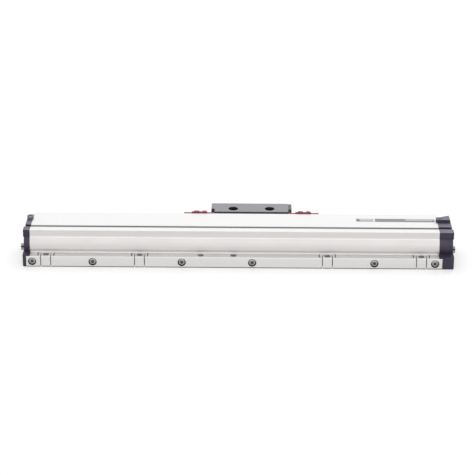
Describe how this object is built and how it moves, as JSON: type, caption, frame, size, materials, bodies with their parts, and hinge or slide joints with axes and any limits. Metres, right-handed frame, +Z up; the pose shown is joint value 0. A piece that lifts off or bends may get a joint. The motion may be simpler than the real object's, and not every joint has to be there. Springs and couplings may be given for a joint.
{
  "type": "linear encoder",
  "caption": "Sealed linear encoder: aluminium housing with a slotted mounting rail, plastic end caps and a scanning unit that slides along the back.",
  "frame": {"origin": "on the axis of the rail's middle mounting hole, in the mounting face under the rail", "axes": "+X along the encoder, +Y from the rail's front towards the scanning unit, +Z up out of the mounting face"},
  "size_m": [0.4655, 0.0898, 0.041],
  "materials": {
    "anodised_aluminium": "natural anodised extrusion, fine lengthwise grain",
    "rail_aluminium": "natural anodised bar, fine lengthwise grain",
    "screw_steel": "blackened steel",
    "cap_plastic": "moulded, fine matte texture",
    "seal_rubber": "matte",
    "plug_metal": "turned",
    "scale_glass": "clear",
    "plate_foil": "satin foil",
    "block_coating": "fine grey coating",
    "socket_cover_plastic": "moulded",
    "circuit_board": "solder mask",
    "connector_plastic": "moulded",
    "blade_steel": "ground",
    "lead_film": "film",
    "carriage_metal": "cast and milled",
    "roller_steel": "ground bearing steel",
    "brace_plastic": "moulded, satin"
  },
  "bodies": {
    "housing": {"housing_profile": "anodised_aluminium", "mounting_rail": "rail_aluminium", "rail_screws": "screw_steel", "left_end_cap": "cap_plastic", "right_end_cap": "cap_plastic", "left_cap_screws": "screw_steel", "right_cap_screws": "screw_steel", "left_cap_gasket": "seal_rubber", "right_cap_gasket": "seal_rubber", "left_clamp_screw": "screw_steel", "right_clamp_screw": "screw_steel", "left_air_plug": "plug_metal", "right_air_plug": "plug_metal", "glass_scale": "scale_glass", "scale_bedding": "seal_rubber", "upper_sealing_lip": "seal_rubber", "lower_sealing_lip": "seal_rubber", "name_plate": "plate_foil"},
    "scanning_unit": {"mounting_block": "block_coating", "back_cover": "block_coating", "back_cover_screws": "screw_steel", "socket_cover": "socket_cover_plastic", "socket_cover_screws": "screw_steel", "circuit_board": "circuit_board", "connector_socket": "connector_plastic", "blade": "blade_steel", "coupling_wire": "blade_steel", "signal_lead": "lead_film", "carriage_frame": "carriage_metal", "roller_pins": "blade_steel", "light_unit": "connector_plastic", "scanning_reticle": "scale_glass", "sensor_board": "circuit_board", "left_transport_brace": "brace_plastic", "right_transport_brace": "brace_plastic", "brace_screws": "screw_steel"},
    "left_edge_roller": {"left_edge_roller": "roller_steel"},
    "right_edge_roller": {"right_edge_roller": "roller_steel"},
    "left_face_roller": {"left_face_roller": "roller_steel"},
    "right_face_roller": {"right_face_roller": "roller_steel"},
    "middle_face_roller": {"middle_face_roller": "roller_steel"}
  },
  "joints": [
    {"name": "scanning_slide", "type": "slide", "parent": "housing", "child": "scanning_unit", "axis": [1, 0, 0], "range_m": [-0.18865, 0.15135]},
    {"name": "left_edge_spin", "type": "hinge", "parent": "scanning_unit", "child": "left_edge_roller", "pos_m": [-0.00535, 0.026, 0.02805], "axis": [0, 1, 0], "continuous": true},
    {"name": "right_edge_spin", "type": "hinge", "parent": "scanning_unit", "child": "right_edge_roller", "pos_m": [0.04265, 0.026, 0.02805], "axis": [0, 1, 0], "continuous": true},
    {"name": "left_face_spin", "type": "hinge", "parent": "scanning_unit", "child": "left_face_roller", "pos_m": [-0.00535, 0.03105, 0.014], "axis": [0, 0, 1], "continuous": true},
    {"name": "right_face_spin", "type": "hinge", "parent": "scanning_unit", "child": "right_face_roller", "pos_m": [0.04265, 0.03105, 0.014], "axis": [0, 0, 1], "continuous": true},
    {"name": "middle_face_spin", "type": "hinge", "parent": "scanning_unit", "child": "middle_face_roller", "pos_m": [0.03565, 0.03105, 0.02], "axis": [0, 0, 1], "continuous": true}
  ],
  "couplings": [
    {"joint": "left_edge_spin", "follows": "scanning_slide", "rad_per_m": 333.33},
    {"joint": "right_edge_spin", "follows": "scanning_slide", "rad_per_m": 333.33},
    {"joint": "left_face_spin", "follows": "scanning_slide", "rad_per_m": -333.33},
    {"joint": "right_face_spin", "follows": "scanning_slide", "rad_per_m": -333.33},
    {"joint": "middle_face_spin", "follows": "scanning_slide", "rad_per_m": -333.33}
  ]
}
